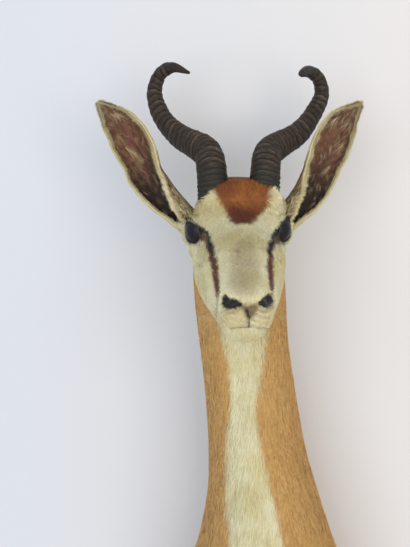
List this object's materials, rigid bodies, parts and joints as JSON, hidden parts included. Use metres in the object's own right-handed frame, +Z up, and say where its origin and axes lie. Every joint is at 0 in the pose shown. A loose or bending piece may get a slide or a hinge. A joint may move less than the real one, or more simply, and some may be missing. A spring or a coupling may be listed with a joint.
{
  "type": "springbok head wall mount",
  "caption": "Taxidermy springbok head, neck and chest with ringed lyre horns, open ears and glass eyes, finished flat behind with a let-in board for hanging on a wall.",
  "frame": {"origin": "middle of the back board's wall face", "axes": "+Z up along the wall, +Y out of the wall face and into the wall, so the animal looks along -Y, and +X to the right of someone who faces the mount"},
  "size_m": [0.3137, 0.3295, 0.7876],
  "materials": {
    "hide": "short haired skin, tan with a cream face and throat",
    "horn": "ringed keratin, satin",
    "eye_glass": "painted glass, polished",
    "board_wood": "sawn and sanded, unvarnished",
    "hanger_steel": "zinc plated"
  },
  "bodies": {
    "root": {"cape": "hide", "horn_left": "horn", "horn_right": "horn", "eye_left": "eye_glass", "eye_right": "eye_glass", "backboard": "board_wood", "hanger_strap": "hanger_steel", "strap_screw_left": "hanger_steel", "strap_screw_right": "hanger_steel"}
  },
  "joints": []
}
